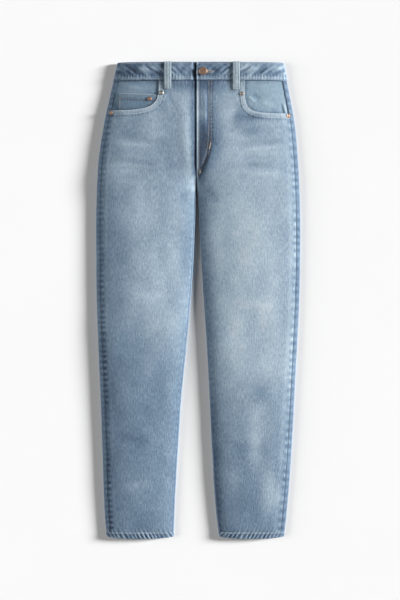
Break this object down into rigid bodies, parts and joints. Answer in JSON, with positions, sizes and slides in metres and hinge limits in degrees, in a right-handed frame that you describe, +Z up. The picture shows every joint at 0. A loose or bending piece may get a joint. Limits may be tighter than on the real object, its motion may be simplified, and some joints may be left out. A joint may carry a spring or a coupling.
{
  "type": "mom jeans",
  "caption": "Light blue high-waisted mom jeans laid flat, front up, with tapered legs, curved front pockets, belt loops and a shank button over a covered fly",
  "frame": {"origin": "centre of the bounding box's base, on the surface the jeans lie on", "axes": "+Z up out of the front of the jeans, +Y from the hems towards the waist, +X to the wearer's left"},
  "size_m": [0.4294, 1.0007, 0.0247],
  "materials": {
    "denim_front": "faded light blue twill",
    "denim_back": "washed mid blue twill",
    "denim_band": "puckered, double-stitched twill",
    "denim_facing": "less faded blue twill",
    "denim_loop": "pale worn twill strip",
    "zip_tape": "woven tape",
    "aged_brass": "aged, satin",
    "dull_steel": "dull plated"
  },
  "bodies": {
    "root": {"front_right": "denim_front", "front_left": "denim_front", "back_right": "denim_back", "back_left": "denim_back", "yoke_right": "denim_back", "yoke_left": "denim_back", "back_pocket_right": "denim_back", "back_pocket_left": "denim_back", "waistband": "denim_band", "hem_right": "denim_band", "hem_left": "denim_band", "pocket_facing_right": "denim_facing", "pocket_facing_left": "denim_facing", "coin_pocket": "denim_facing", "belt_loop_front_right": "denim_loop", "belt_loop_front_left": "denim_loop", "belt_loop_back_right": "denim_loop", "belt_loop_back_left": "denim_loop", "belt_loop_back_centre": "denim_loop", "zip": "zip_tape", "button": "aged_brass", "rivet_right_outer": "aged_brass", "rivet_left_outer": "aged_brass", "rivet_coin_pocket": "aged_brass", "rivet_right_inner": "dull_steel", "rivet_left_inner": "dull_steel"}
  },
  "joints": []
}
